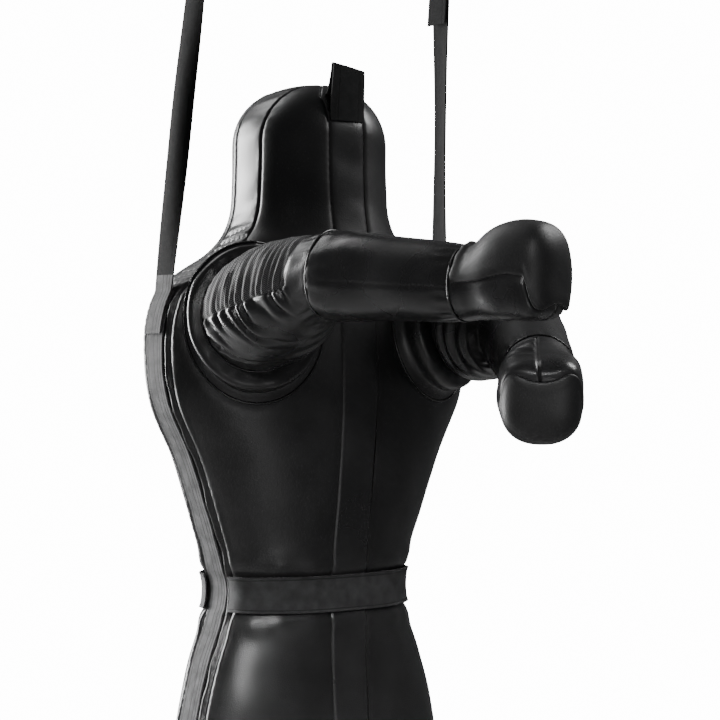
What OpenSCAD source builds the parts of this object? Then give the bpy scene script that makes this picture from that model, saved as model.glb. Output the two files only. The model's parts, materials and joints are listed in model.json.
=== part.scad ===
// Hanging human-shaped training bag with two stuffed arms.
// The bag hangs from two webbing straps, one over each shoulder, on two wire-gate hooks.
// Origin: midway between the places where the two hooks bear on their anchors.
// The bag faces -Y, its own left is +X, and +Z is up.

/* [Bag] */
// Height of the bag from the crown of the head to the base
bag_h = 1200; // [1170:5:1230]
// Width across the widest part of the torso
torso_w = 504; // [490:2:516]
// Depth of the chest from front to back
chest_d = 234; // [226:2:242]
// Width of the gusset that joins the front panels to the back panels
gusset_w = 57; // [53:1:60]
// Width of the strip down the middle of the front and of the back
strip_w = 60; // [54:1:66]
// Thickness of the cover
cover_t = 2; // [1.6:0.1:2.4]

/* [Webbing] */
// Width of the belt and of the crown tab
web_w = 50; // [46:1:54]
// Width of the side webbing and of the two straps
strap_w = 38; // [34:1:42]
// Thickness of one layer of webbing
web_t = 2.4; // [2:0.1:2.6]

/* [Hanging] */
// Drop from the hooks to the crown of the head
crown_drop = 265; // [255:5:275]
// Distance between the two hooks
hook_pitch = 414; // [404:2:424]
// Distance from the hooks back to the middle plane of the bag
hook_lead = 38; // [32:1:44]
// Thickness of the steel rod of a hook
hook_rod_d = 10; // [9:0.5:10]
// Thickness of the steel rod of a D-ring
ring_rod_d = 8; // [7:0.5:8]

/* [Arms] */
// Length of an upper arm from the shoulder joint to the elbow joint
upper_len = 160; // [156:1:164]
// Length of a forearm from the elbow joint to the wrist joint
fore_len = 197; // [192:1:202]
// Radius of an arm at the elbow
elbow_r = 56; // [54:1:57]
// Radius of an arm at the wrist
wrist_r = 48; // [46:1:49]
// Radius of the ball at the top of an upper arm
shoulder_r = 66; // [64:1:67]
// Turn of the right and of the left upper arm towards the middle, in degrees
upper_turn = [1, 7]; // [0:1:8]
// Lift of the right and of the left upper arm above level, in degrees
upper_lift = [21, -5]; // [-6:1:22]
// Turn of the right and of the left forearm towards the middle, in degrees
fore_turn = [19, 35]; // [18:1:36]
// Lift of the right and of the left forearm above level, in degrees
fore_lift = [-4, -14]; // [-15:1:-3]
// Turn of the right and of the left hand towards the middle, in degrees
hand_turn = [19, 41]; // [18:1:42]
// Lift of the right and of the left hand above level, in degrees
hand_lift = [-3, -15]; // [-16:1:-2]

/* [Hidden] */
$fn = 48;
RIGHT = 0;
LEFT = 1;
gap = 0.4;                          // running gap between two bodies
lay = 0.2;                          // gap between two layers of one body
web_lay = 1.2;                      // gap between the cover and the webbing on it
gusset = gusset_w / 2;
crown_z = -crown_drop;
bag_at = [0, hook_lead, crown_z];   // the crown, in the frame of the hooks
across = torso_w / 504;             // scale of the widths of the outline
deep = chest_d / 234;               // scale of the depths of the outline
tall = bag_h / 1200;                // scale of the heights of the outline

// Half width of the bag at a distance below the crown.
crown_r = 90;
head_half = 104;
widths = [[90, 104], [150, 106], [185, 110], [215, 124], [240, 151], [262, 190], [285, 226],
          [320, 245], [375, 252], [440, 242], [518, 204], [600, 172], [660, 151], [700, 142],
          [740, 150], [800, 174], [880, 196], [960, 203], [1050, 198], [1140, 186], [1200, 172]];
// Distance that the bag is drawn back at the waist, at a distance below the crown.
sways = [[0, 0], [450, 0], [700, 10], [870, 5], [1200, 0]];
// Half depth of the bag at a distance below the crown.
brow_r = 75;
head_deep = 88;
depths = [[75, 88], [160, 90], [205, 96], [265, 106], [340, 114], [460, 117], [560, 112],
          [640, 105], [700, 102], [790, 101], [880, 104], [960, 107], [1060, 103],
          [1140, 97], [1200, 86]];

// Smooth curve through a table of [position, value] pairs.
function slot(t, x, i = 0) = i >= len(t) - 2 || x < t[i + 1][0] ? i : slot(t, x, i + 1);
function slope(t, i) =
    i == 0 || i == len(t) - 1 ? 0 : (t[i + 1][1] - t[i - 1][1]) / (t[i + 1][0] - t[i - 1][0]);
function hermite(p, q, m, n, w, k) =
    (2 * k * k * k - 3 * k * k + 1) * p + (k * k * k - 2 * k * k + k) * w * m
    + (3 * k * k - 2 * k * k * k) * q + (k * k * k - k * k) * w * n;
function curve(t, x) =
    let (i = slot(t, x), w = t[i + 1][0] - t[i][0], k = (x - t[i][0]) / w)
    hermite(t[i][1], t[i + 1][1], slope(t, i), slope(t, i + 1), w, k);

function dome(s, r, full) = full * sqrt(max(0, 1 - pow(1 - s / r, 2)));
function half_w(s) = across * (s < crown_r ? dome(s, crown_r, head_half) : curve(widths, s / tall));
function half_d(s) =
    s < brow_r ? gusset + dome(s, brow_r, head_deep - gusset) : deep * curve(depths, s / tall);
function sway(s) = curve(sways, s / tall);
function crowned(u) = pow(max(0, 1 - pow(abs(u), 2.6)), 0.62);
// A point of the front (face -1) or back (face 1), at the fraction u of the half width.
function skin(s, u, face, off) =
    [u * (half_w(s) + off),
     sway(s) + face * (gusset + (half_d(s) + off - gusset) * crowned(u)), -s];
function spread(n) = [for (i = [0:n]) sin(90 * (2 * i / n - 1))];
function ring(s, off) = concat([for (u = spread(14)) skin(s, u, -1, off)],
                               [for (u = spread(14)) skin(s, -u, 1, off)]);

// Levels below the crown at which the cover is drawn.
function levels(a, b, n) = [for (i = [0:n]) a + (b - a) * i / n];
head_levels = [1.5, 6, 14, 26, 42, 62, 90, 125, 160, 185, 205];
body_levels = concat(head_levels, levels(222, bag_h, 36));

// A closed solid between two sheets of points; wrap joins the last column to the first.
module between(outer, inner, wrap = false) {
    rows = len(outer);
    cols = len(outer[0]);
    last = wrap ? cols : cols - 1;
    n = rows * cols;
    function at(i, j) = i * cols + j % cols;
    sheet = [for (i = [0:rows - 2], j = [0:last - 1])
        each [[at(i, j), at(i, j + 1), at(i + 1, j + 1)], [at(i, j), at(i + 1, j + 1), at(i + 1, j)]]];
    back = [for (f = sheet) [f[2] + n, f[1] + n, f[0] + n]];
    top = [for (j = [0:last - 1])
        each [[at(0, j + 1), at(0, j), at(0, j) + n], [at(0, j + 1), at(0, j) + n, at(0, j + 1) + n]]];
    base = [for (j = [0:last - 1], i = [rows - 1])
        each [[at(i, j), at(i, j + 1), at(i, j + 1) + n], [at(i, j), at(i, j + 1) + n, at(i, j) + n]]];
    ends = wrap ? [] : [for (i = [0:rows - 2], j = [0]) each
        [[at(i, j), at(i + 1, j), at(i + 1, j) + n], [at(i, j), at(i + 1, j) + n, at(i, j) + n]]];
    tails = wrap ? [] : [for (i = [0:rows - 2], j = [cols - 1]) each
        [[at(i + 1, j), at(i, j), at(i, j) + n], [at(i + 1, j), at(i, j) + n, at(i + 1, j) + n]]];
    polyhedron([for (r = outer) each r, for (r = inner) each r],
               concat(sheet, back, top, base, ends, tails));
}

// A closed solid through rings of points.
module through(rings) {
    n = len(rings[0]);
    m = len(rings);
    polyhedron([for (r = rings) each r],
        concat([for (i = [0:m - 2], j = [0:n - 1]) each
                [[i * n + j, i * n + (j + 1) % n, (i + 1) * n + (j + 1) % n],
                 [i * n + j, (i + 1) * n + (j + 1) % n, (i + 1) * n + j]]],
               [[for (j = [0:n - 1]) n - 1 - j]], [[for (j = [0:n - 1]) (m - 1) * n + j]]));
}

// --- Arm joints -----------------------------------------------------------------------------
side_x = [-1, 1];
joint_drop = 335;                   // shoulder joints below the crown
joint_x = 171;
joint_y = -113;                     // shoulder joints in front of the bag's middle plane
function heading(turn, lift, s) =
    [-side_x[s] * sin(turn) * cos(lift), -cos(turn) * cos(lift), sin(lift)];
function shoulder(s) = bag_at + [side_x[s] * joint_x, joint_y, -joint_drop];
function elbow(s) = shoulder(s) + upper_len * heading(upper_turn[s], upper_lift[s], s);
function wrist(s) = elbow(s) + fore_len * heading(fore_turn[s], fore_lift[s], s);

// Puts local +Z along an arm, with local +Y upwards.
module along(p, turn, lift, s) {
    translate(p) rotate([90 - lift, 0, -side_x[s] * turn]) children();
}
module upper_frame(s) { along(shoulder(s), upper_turn[s], upper_lift[s], s) children(); }
module fore_frame(s) { along(elbow(s), fore_turn[s], fore_lift[s], s) children(); }
module hand_frame(s) { along(wrist(s), hand_turn[s], hand_lift[s], s) children(); }

// --- Bag ------------------------------------------------------------------------------------
module on_bag() { translate(bag_at) children(); }
module sockets(r) {
    for (s = [RIGHT, LEFT]) translate(shoulder(s) - bag_at) sphere(r = r, $fn = 64);
}

// Inset of the filling at a level, so that it is the same gap square to a sloping cover.
fill_gap = 0.8;
function slack(s) =
    let (run = 2, w = half_w(s + run) - half_w(s - run), d = half_d(s + run) - half_d(s - run))
    (cover_t + fill_gap) * min(3, norm([1, max(abs(w), abs(d)) / (2 * run)]));
module body_filling() {
    low = [for (s = body_levels) if (s > 8) s];
    color("dimgray") on_bag() difference() {
        through([for (s = low) ring(min(s, bag_h - cover_t - lay), -slack(s))]);
        sockets(shoulder_r + gap);
    }
}

function strip_half(s) = min(strip_w / 2, 0.45 * half_w(s));
function panel_us(s, side) =
    [for (i = [0:8], u = strip_half(s) / half_w(s)) side * (u + (1 - u) * sin(90 * i / 8))];
function strip_us(s) = [for (i = [-2:2]) i / 2 * strip_half(s) / half_w(s)];
function reverse(v) = [for (i = [len(v) - 1:-1:0]) v[i]];

module half_sheet(side, face, low, high) {
    flip = side * face > 0;
    a = [for (s = body_levels) [for (u = panel_us(s, side)) skin(s, u, face, high)]];
    b = [for (s = body_levels) [for (u = panel_us(s, side)) skin(s, u, face, low)]];
    if (flip) between([for (r = a) reverse(r)], [for (r = b) reverse(r)]);
    else between(a, b);
}

// Oval cut-out of an armhole, seen square to the chest beside it.
arm_face = 22;                      // turn of the armhole away from straight ahead
arm_oval = [97, 108];
module armhole(s, grow, deep_in = 70) {
    at = shoulder(s) - bag_at;
    translate(at) rotate([90, 0, side_x[s] * arm_face]) translate([-side_x[s] * 7, 0, -deep_in])
        linear_extrude(deep_in + 60) polygon([for (a = [0:8:352])
            [(arm_oval[0] + grow) * cos(a), (arm_oval[1] + grow) * sin(a)]]);
}

module front_panel(s) {
    color("#1b1b1c") on_bag() difference() {
        half_sheet(side_x[s], -1, -cover_t, 0);
        armhole(s, 0);
    }
}
module back_panel(s) { color("#1b1b1c") on_bag() half_sheet(side_x[s], 1, -cover_t, 0); }
module centre_strip(face) {
    flip = face > 0;
    a = [for (s = body_levels) [for (u = strip_us(s)) skin(s, u, face, 0)]];
    b = [for (s = body_levels) [for (u = strip_us(s)) skin(s, u, face, -cover_t)]];
    color("#232324") on_bag()
        if (flip) between([for (r = a) reverse(r)], [for (r = b) reverse(r)]);
        else between(a, b);
}
module armhole_panel(s) {
    color("#202021") on_bag() difference() {
        intersection() {
            half_sheet(side_x[s], -1, -cover_t, 0);
            armhole(s, -0.3);
        }
        sockets(shoulder_r + gap);
    }
}
module armhole_piping(s) {
    color("#111111") on_bag() difference() {
        intersection() {
            half_sheet(side_x[s], -1, lay, lay + 3);
            armhole(s, 2);
        }
        armhole(s, -2, 90);
    }
}

// The outline of the bag seen from the front, from one side of the base over the crown.
rise = concat([for (i = [len(body_levels) - 1:-1:1]) body_levels[i]], [3, 1, 0.3]);
outline = concat([for (s = rise) [half_w(s), -s]], [[0, 0]],
                 [for (i = [len(rise) - 1:-1:0]) [-half_w(rise[i]), -rise[i]]]);
function unit(v) = v / norm(v);
function outward(i) =
    let (n = len(outline), d = outline[min(i + 1, n - 1)] - outline[max(i - 1, 0)])
    unit([d[1], -d[0]]);
module side_gusset() {
    function edge(i, off, y) =
        let (p = outline[i] + off * outward(i)) [p[0], y + sway(-outline[i][1]), min(0, p[1])];
    g = gusset - lay / 2;
    color("#1f1f20") on_bag() between(
        [for (i = [0:len(outline) - 1]) [for (y = [g, 0, -g]) edge(i, 0, y)]],
        [for (i = [0:len(outline) - 1]) [for (y = [g, 0, -g]) edge(i, -cover_t, y)]]);
}

module base_panel() {
    color("#1b1b1c") on_bag() translate([0, 0, -bag_h - cover_t])
        linear_extrude(cover_t) polygon([for (p = ring(bag_h, 0)) [p[0], p[1]]]);
}

belt_s = 702;
module waist_belt() {
    rows = levels(belt_s - web_w / 2, belt_s + web_w / 2, 4);
    low = web_lay + web_t + 3 * lay;
    color("#303030") on_bag() between([for (s = rows) ring(s, low + web_t)],
                                      [for (s = rows) ring(s, low)], true);
}

web_top_s = 300;
web_back = 4;                       // middle of the side webbing behind the bag's middle plane
module side_webbing(s) {
    rows = levels(web_top_s, bag_h - 4, 72);
    x = side_x[s];
    h = strap_w / 2;
    function edge(v, off, y) = [x * (half_w(v) + off), sway(v) + web_back + x * y, -v];
    color("#4a4a4a") on_bag() between(
        [for (v = rows) [for (y = [-h, h]) edge(v, web_lay + web_t, y)]],
        [for (v = rows) [for (y = [-h, h]) edge(v, web_lay, y)]]);
}

tab_s = 56;                         // the tab is sewn down from here upwards
tab_h = 72;                         // and stands this high, clear of the brow
module crown_tab() {
    color("#101010") on_bag() {
        translate([-web_w / 2, -half_d(tab_s) - web_lay - 2 * web_t, -tab_s])
            cube([web_w, 2 * web_t, tab_h]);
        patch = levels(24, tab_s, 8);
        between([for (s = patch) [for (k = [-2:2]) forehead(s, k, web_lay + web_t)]],
                [for (s = patch) [for (k = [-2:2]) forehead(s, k, web_lay)]]);
    }
}
function forehead(s, k, off) =
    let (u = min(0.9, web_w / 2 / half_w(s)) * k / 2) skin(s, u, -1, off);

// --- Hooks, D-rings and straps --------------------------------------------------------------
hook_r = 18;                        // centre line radius of a hook's round ends
hook_span = 47;                     // distance between the two end centres
rod = hook_rod_d / 2;
hook_top = rod - hook_r;            // height of the upper end's centre
hook_low = hook_top - hook_span;    // height of the lower end's centre
swing_z = hook_low - hook_r;        // middle of the rod that the D-ring turns on
gate_r = 1.3;
gate_z = hook_low + 4;              // height of the gate's pivot
bar_half = 25;                      // half length of a D-ring's bar, between middles
ring_rod = ring_rod_d / 2;
bar_z = swing_z + rod + gap + ring_rod - bar_half;

module at_hook(s) { translate([side_x[s] * hook_pitch / 2, 0, 0]) children(); }
module half_link(up) {
    rotate([90, 0, 0]) rotate([0, 0, up ? 0 : 180])
        rotate_extrude(angle = 180) translate([hook_r, 0]) circle(r = rod);
}
module hook(s) {
    color("silver") at_hook(s) difference() {
        union() {
            translate([0, 0, hook_top]) half_link(true);
            translate([0, 0, hook_low]) half_link(false);
            translate([-hook_r, 0, hook_low]) cylinder(r = rod, h = hook_span);
            translate([hook_r, 0, hook_top - 6]) cylinder(r = rod, h = 6);
            translate([hook_r, 0, hook_low]) cylinder(r = rod, h = 7.5);
        }
        translate([hook_r, 0, gate_z]) rotate([90, 0, 0])
            cylinder(r = gate_r + 0.08, h = 30, center = true);
    }
}
gate_half = rod + gate_r + gap;
module wire_gate(s) {
    top = [hook_r - rod - gate_r - gap, hook_top - 3];
    lean = atan2(hook_r - top[0], top[1] - gate_z);
    reach = norm([hook_r - top[0], top[1] - gate_z]);
    color("gainsboro") at_hook(s) translate([hook_r, 0, gate_z]) rotate([0, -lean, 0]) {
        rotate([90, 0, 0]) cylinder(r = gate_r, h = 2 * gate_half, center = true);
        for (y = [-1, 1]) translate([0, y * gate_half, 0]) {
            cylinder(r = gate_r, h = reach);
            sphere(r = gate_r, $fn = 24);
            translate([0, 0, reach]) sphere(r = gate_r, $fn = 24);
        }
        translate([0, 0, reach]) rotate([90, 0, 0])
            cylinder(r = gate_r, h = 2 * gate_half, center = true);
    }
}
module d_ring(s) {
    color("silver") at_hook(s) translate([0, 0, bar_z]) {
        rotate([90, 0, 90]) rotate_extrude(angle = 180) translate([bar_half, 0]) circle(r = ring_rod);
        rotate([90, 0, 0]) cylinder(r = ring_rod, h = 2 * bar_half, center = true);
        for (y = [-1, 1]) translate([0, y * bar_half, 0]) sphere(r = ring_rod);
    }
}

// Middle line of a strap, from the D-ring down to its sewn end on the flank.
strap_out_s = 292;                  // the strap leaves the flank here
strap_end_s = 350;
loop_r = ring_rod + 0.4;
function strap_x(v) = half_w(v) + web_lay + 3 * lay + 1.5 * web_t;
function strap_line(s) =
    let (p = [hook_pitch / 2, 0, bar_z - loop_r - web_t / 2],
         q = bag_at + [strap_x(strap_out_s) + 2, web_back, -strap_out_s])
    concat([for (i = [0:12]) p + (q - p) * i / 12],
           [for (v = levels(strap_out_s + 10, strap_end_s, 4)) bag_at + [strap_x(v), web_back, -v]]);
module strap(s) {
    x = side_x[s];
    line = strap_line(s);
    function edge(i, off, y) = [x * (line[i][0] + off), line[i][1] + x * y, line[i][2]];
    n = len(line) - 1;
    h = strap_w / 2;
    color("#161616") {
        between([for (i = [0:n]) [edge(i, web_t / 2, -h), edge(i, web_t / 2, h)]],
                [for (i = [0:n]) [edge(i, -web_t / 2, -h), edge(i, -web_t / 2, h)]]);
        at_hook(s) translate([0, 0, bar_z]) rotate([90, 0, 0]) difference() {
            cylinder(r = loop_r + web_t, h = strap_w, center = true);
            cylinder(r = loop_r, h = strap_w + 2, center = true);
        }
    }
}

// --- Arms -----------------------------------------------------------------------------------
// A stuffed limb turned about its own length: a ball at its root, a dish for the next ball.
module limb(len, root_r, end_r, dish_r, rim, round) {
    rim_p = [dish_r * cos(rim), len - dish_r * sin(rim)];
    rotate_extrude($fn = 64) polygon(concat(
        [for (a = [-90:10:0]) root_r * [cos(a), sin(a)]],
        [[end_r, len - round]],
        [for (k = [0.25, 0.5, 0.75]) [end_r + (rim_p[0] - end_r) * (1 - sqrt(1 - k * k)),
                                      len - round + (rim_p[1] - len + round) * k]],
        [for (a = [rim:(90 - rim) / 6:89.9]) [dish_r * cos(a), len - dish_r * sin(a)]],
        [[0, len - dish_r]]));
}
// A cover over part of a limb's length and part of its way round.
module sleeve(z0, z1, r0, r1, from = 0, sweep = 360) {
    rotate([0, 0, from]) rotate_extrude(angle = sweep, $fn = 64)
        polygon([[r0 + lay, z0], [r0 + lay + cover_t, z0], [r1 + lay + cover_t, z1], [r1 + lay, z1]]);
}

elbow_rim = 54;                     // how far round its ball an elbow's or a wrist's dish ends
wrist_rim = 42;
elbow_round = 84;                   // length over which a limb rounds off to its dish
wrist_round = 66;
upper_core = elbow_r - cover_t - lay;
fore_core = [elbow_r - cover_t - lay, wrist_r - cover_t - lay];
sleeve_z = [41, 68, upper_len - elbow_round];
woven_from = [60, -6];              // where the woven panel of each upper sleeve starts
woven_sweep = 126;                  // how far round the arm the woven panel goes

module upper_filling(s) {
    color("dimgray") upper_frame(s) union() {
        sphere(r = shoulder_r, $fn = 64);
        limb(upper_len, upper_core, upper_core, fore_core[0] + gap, elbow_rim, elbow_round);
    }
}
module woven_sleeve(s) {
    color("#3c3c3c") upper_frame(s)
        sleeve(sleeve_z[0], sleeve_z[1], upper_core, upper_core, woven_from[s], woven_sweep);
}
module upper_sleeve(s) {
    color("#181818") upper_frame(s) {
        sleeve(sleeve_z[0], sleeve_z[1], upper_core, upper_core,
               woven_from[s] + woven_sweep, 360 - woven_sweep);
        sleeve(sleeve_z[1] + lay, sleeve_z[2], upper_core, upper_core);
    }
}
module elbow_piping(s) {
    color("#0c0c0c") fore_frame(s) translate([0, 0, 4]) rotate_extrude($fn = 64)
        translate([fore_core[0] + lay + 2.4, 0]) circle(r = 2.2);
}
module fore_filling(s) {
    color("dimgray") fore_frame(s)
        limb(fore_len, fore_core[0], fore_core[1], fore_core[1] + gap, wrist_rim, wrist_round);
}
module fore_sleeve(s) {
    end = fore_len - wrist_round;
    color("#181818") fore_frame(s)
        sleeve(8, end, fore_core[0], fore_core[1]);
}
module wrist_piping(s) {
    color("#0c0c0c") fore_frame(s) translate([0, 0, fore_len - wrist_round + 2.6])
        rotate_extrude($fn = 64)
            translate([fore_core[1] + lay + 2, 0]) circle(r = 2);
}

// A hand is a curled mitten: a pad over the fingers, and a ball for the palm inside its curl.
hand_len = 140;
knuckle_r = 56;
tip_r = 42;
split_y = -12;
curl_z = 112;
module mitten(off) {
    hull($fn = 32) {
        sphere(r = fore_core[1] + off);
        translate([0, 14, 62]) scale([0.92, 1, 1]) sphere(r = knuckle_r + off);
        translate([0, 16, hand_len - tip_r]) sphere(r = tip_r + off);
    }
}
module cover_of_hand() {
    difference() {
        mitten(0);
        mitten(-cover_t);
    }
}
module palm_side() { translate([-80, -100, -60]) cube([160, 100 + split_y, 60 + curl_z]); }
module turned_hand(s) { hand_frame(s) rotate([0, 0, s == RIGHT ? 0 : 180]) children(); }
module hand_filling(s) { color("dimgray") turned_hand(s) mitten(-cover_t - lay); }
module finger_pad(s) {
    color("#181818") turned_hand(s) difference() {
        cover_of_hand();
        palm_side();
    }
}
module palm_ball(s) {
    color("#222222") turned_hand(s) intersection() {
        cover_of_hand();
        translate([0, -lay, -lay]) palm_side();
    }
}

body_filling();
front_panel(RIGHT);  // front_panel_right
front_panel(LEFT);  // front_panel_left
centre_strip(-1);  // front_strip
back_panel(RIGHT);  // back_panel_right
back_panel(LEFT);  // back_panel_left
centre_strip(1);  // back_strip
side_gusset();
base_panel();
armhole_panel(RIGHT);  // armhole_panel_right
armhole_panel(LEFT);  // armhole_panel_left
armhole_piping(RIGHT);  // armhole_piping_right
armhole_piping(LEFT);  // armhole_piping_left
waist_belt();
side_webbing(RIGHT);  // side_webbing_right
side_webbing(LEFT);  // side_webbing_left
crown_tab();
strap(RIGHT);  // strap_right
strap(LEFT);  // strap_left
d_ring(RIGHT);  // d_ring_right
d_ring(LEFT);  // d_ring_left
hook(RIGHT);  // hook_right
hook(LEFT);  // hook_left
wire_gate(RIGHT);  // wire_gate_right
wire_gate(LEFT);  // wire_gate_left
upper_filling(RIGHT);  // upper_filling_right
upper_filling(LEFT);  // upper_filling_left
woven_sleeve(RIGHT);  // woven_sleeve_right
woven_sleeve(LEFT);  // woven_sleeve_left
upper_sleeve(RIGHT);  // upper_sleeve_right
upper_sleeve(LEFT);  // upper_sleeve_left
elbow_piping(RIGHT);  // elbow_piping_right
elbow_piping(LEFT);  // elbow_piping_left
fore_filling(RIGHT);  // fore_filling_right
fore_filling(LEFT);  // fore_filling_left
fore_sleeve(RIGHT);  // fore_sleeve_right
fore_sleeve(LEFT);  // fore_sleeve_left
wrist_piping(RIGHT);  // wrist_piping_right
wrist_piping(LEFT);  // wrist_piping_left
hand_filling(RIGHT);  // hand_filling_right
hand_filling(LEFT);  // hand_filling_left
finger_pad(RIGHT);  // finger_pad_right
finger_pad(LEFT);  // finger_pad_left
palm_ball(RIGHT);  // palm_ball_right
palm_ball(LEFT);  // palm_ball_left
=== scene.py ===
import json
import math

import bpy
import numpy as np
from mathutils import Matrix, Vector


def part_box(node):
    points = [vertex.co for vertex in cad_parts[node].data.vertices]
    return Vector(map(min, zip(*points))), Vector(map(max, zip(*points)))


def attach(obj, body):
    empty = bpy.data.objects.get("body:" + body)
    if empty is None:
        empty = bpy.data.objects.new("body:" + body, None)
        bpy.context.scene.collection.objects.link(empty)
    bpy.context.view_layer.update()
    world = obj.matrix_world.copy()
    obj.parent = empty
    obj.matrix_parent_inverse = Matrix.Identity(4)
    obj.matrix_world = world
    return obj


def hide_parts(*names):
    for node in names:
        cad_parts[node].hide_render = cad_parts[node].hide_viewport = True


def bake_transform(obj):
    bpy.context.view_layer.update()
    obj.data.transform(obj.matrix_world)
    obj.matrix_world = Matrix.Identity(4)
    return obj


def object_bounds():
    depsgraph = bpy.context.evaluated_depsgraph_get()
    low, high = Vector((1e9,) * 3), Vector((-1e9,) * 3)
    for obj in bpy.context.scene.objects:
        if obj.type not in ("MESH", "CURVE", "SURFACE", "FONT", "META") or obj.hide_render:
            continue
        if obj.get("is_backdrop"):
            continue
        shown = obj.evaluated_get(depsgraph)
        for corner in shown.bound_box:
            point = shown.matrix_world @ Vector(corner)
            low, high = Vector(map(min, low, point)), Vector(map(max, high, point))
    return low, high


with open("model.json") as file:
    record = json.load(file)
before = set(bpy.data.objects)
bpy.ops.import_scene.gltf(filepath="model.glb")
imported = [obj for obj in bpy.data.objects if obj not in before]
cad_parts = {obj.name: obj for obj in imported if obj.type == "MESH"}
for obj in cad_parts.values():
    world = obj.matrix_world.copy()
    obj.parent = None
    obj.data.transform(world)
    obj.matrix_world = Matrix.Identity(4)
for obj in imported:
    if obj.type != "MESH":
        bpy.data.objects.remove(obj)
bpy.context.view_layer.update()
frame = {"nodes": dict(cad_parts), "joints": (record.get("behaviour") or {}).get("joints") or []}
MM = 0.001

# --- Camera, lights and floor -------------------------------------------------------------------
# The bag is seen from its right front at chest height, with a long lens. A tall soft box stands
# behind its right side, with weaker ones in front, by the head and above. The floor is a grey disc.
view_turn = math.radians(-38)
camera_data = bpy.data.cameras.new("camera")
camera_data.lens = 110.7
camera_data.sensor_width = 36
camera_data.clip_end = 50
camera = bpy.data.objects.new("camera", camera_data)
camera.location = (-1.853, -2.449, -0.65)
camera.rotation_euler = (math.radians(90), 0, view_turn)
bpy.context.collection.objects.link(camera)
bpy.context.scene.camera = camera


def soft_box(name, place, aim, wide, high, power, spread=180):
    data = bpy.data.lights.new(name, "AREA")
    data.shape = "RECTANGLE"
    data.size, data.size_y, data.energy = wide, high, power
    data.spread = math.radians(spread)
    box = bpy.data.objects.new(name, data)
    box.location = place
    away = np.array(aim, float) - np.array(place, float)
    turn = math.atan2(-away[0], away[1])
    rise = math.atan2(away[2], math.hypot(away[0], away[1]))
    box.rotation_euler = (math.pi / 2 + rise, 0, turn)
    bpy.context.collection.objects.link(box)


chest = (0, 0.03, -0.75)
soft_box("side_key", (-1.15, 2.35, -0.45), chest, 1.0, 2.2, 270)
soft_box("front_low", (-1.1, -3.1, -1.9), chest, 1.3, 0.9, 15)
soft_box("front_high", (-1.9, -2.2, 0.45), (0.1, 0.1, -1.75), 1.2, 0.8, 6, 24)
soft_box("far_head", (0.95, -0.5, 0.3), (0, 0, -0.4), 0.5, 0.5, 11)
soft_box("top_back", (-0.5, 1.6, 1.6), chest, 1.6, 1.2, 25)

world = bpy.data.worlds.new("pale_room")
bpy.context.scene.world = world
world.use_nodes = True
nodes, links = world.node_tree.nodes, world.node_tree.links
seen = nodes["Background"]
seen.inputs["Color"].default_value = (0.98, 0.98, 0.98, 1)
seen.inputs["Strength"].default_value = 15.0
room = nodes.new("ShaderNodeBackground")
room.inputs["Color"].default_value = (0.9, 0.9, 0.92, 1)
room.inputs["Strength"].default_value = 0.13
ray = nodes.new("ShaderNodeLightPath")
pick = nodes.new("ShaderNodeMixShader")
links.new(ray.outputs["Is Camera Ray"], pick.inputs["Fac"])
links.new(room.outputs["Background"], pick.inputs[1])
links.new(seen.outputs["Background"], pick.inputs[2])
links.new(pick.outputs["Shader"], nodes["World Output"].inputs["Surface"])

bpy.ops.object.select_all(action="DESELECT")
bpy.ops.mesh.primitive_circle_add(vertices=96, radius=2.2, fill_type="NGON", location=(0, 0, -1.6))
floor = bpy.context.object
floor.name = "floor"
paint = bpy.data.materials.new("grey_floor")
paint.use_nodes = True
paint.node_tree.nodes["Principled BSDF"].inputs["Base Color"].default_value = (0.25, 0.25, 0.25, 1)
paint.node_tree.nodes["Principled BSDF"].inputs["Roughness"].default_value = 0.8
floor.data.materials.append(paint)
floor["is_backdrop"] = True

# --- Front and back panels ----------------------------------------------------------------------
# Two panels at the front and two at the back make most of the bag's skin. They are black grained
# leathercloth, cut to the outline of a body, stuffed hard and sewn to the strips and the gusset.
SIDES = {"right": -1, "left": 1}
BAG = np.array([0.0, 38.0, -265.0])
GUSSET = 28.5
HEIGHT = 1200.0
OUTLINE = [(90, 104), (150, 106), (185, 110), (215, 124), (240, 151), (262, 190), (285, 226),
           (320, 245), (375, 252), (440, 242), (518, 204), (600, 172), (660, 151), (700, 142),
           (740, 150), (800, 174), (880, 196), (960, 203), (1050, 198), (1140, 186), (1200, 172)]
SWAY = [(0, 0), (450, 0), (700, 10), (870, 5), (1200, 0)]
PROFILE = [(75, 88), (160, 90), (205, 96), (265, 106), (340, 114), (460, 117), (560, 112),
           (640, 105), (700, 102), (790, 101), (880, 104), (960, 107), (1060, 103), (1140, 97),
           (1200, 86)]
CROWN_R, HEAD_HALF, BROW_R, HEAD_DEEP = 90, 104, 75, 88
STRIP_HALF = 30
BELT_S, BELT_HALF = 702, 25
COVER_THICK = 2
BAG_MIDDLE = (0, 38, -900)
CHEST_POINT = (150, 20)  # a row and a column of a panel's grid


def curve(table, x):
    px, py = np.array(table, float).T
    slope = np.zeros_like(py)
    slope[1:-1] = (py[2:] - py[:-2]) / (px[2:] - px[:-2])
    x = np.clip(np.asarray(x, float), px[0], px[-1])
    i = np.clip(np.searchsorted(px, x, side="right") - 1, 0, len(px) - 2)
    w = px[i + 1] - px[i]
    k = (x - px[i]) / w
    return ((2 * k**3 - 3 * k**2 + 1) * py[i] + (k**3 - 2 * k**2 + k) * w * slope[i]
            + (3 * k**2 - 2 * k**3) * py[i + 1] + (k**3 - k**2) * w * slope[i + 1])


def dome(s, r, full):
    return full * np.sqrt(np.clip(1 - (1 - np.asarray(s, float) / r) ** 2, 0, 1))


def half_w(s):
    return np.where(s < CROWN_R, dome(s, CROWN_R, HEAD_HALF), curve(OUTLINE, s))


def half_d(s):
    return np.where(s < BROW_R, GUSSET + dome(s, BROW_R, HEAD_DEEP - GUSSET), curve(PROFILE, s))


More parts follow.
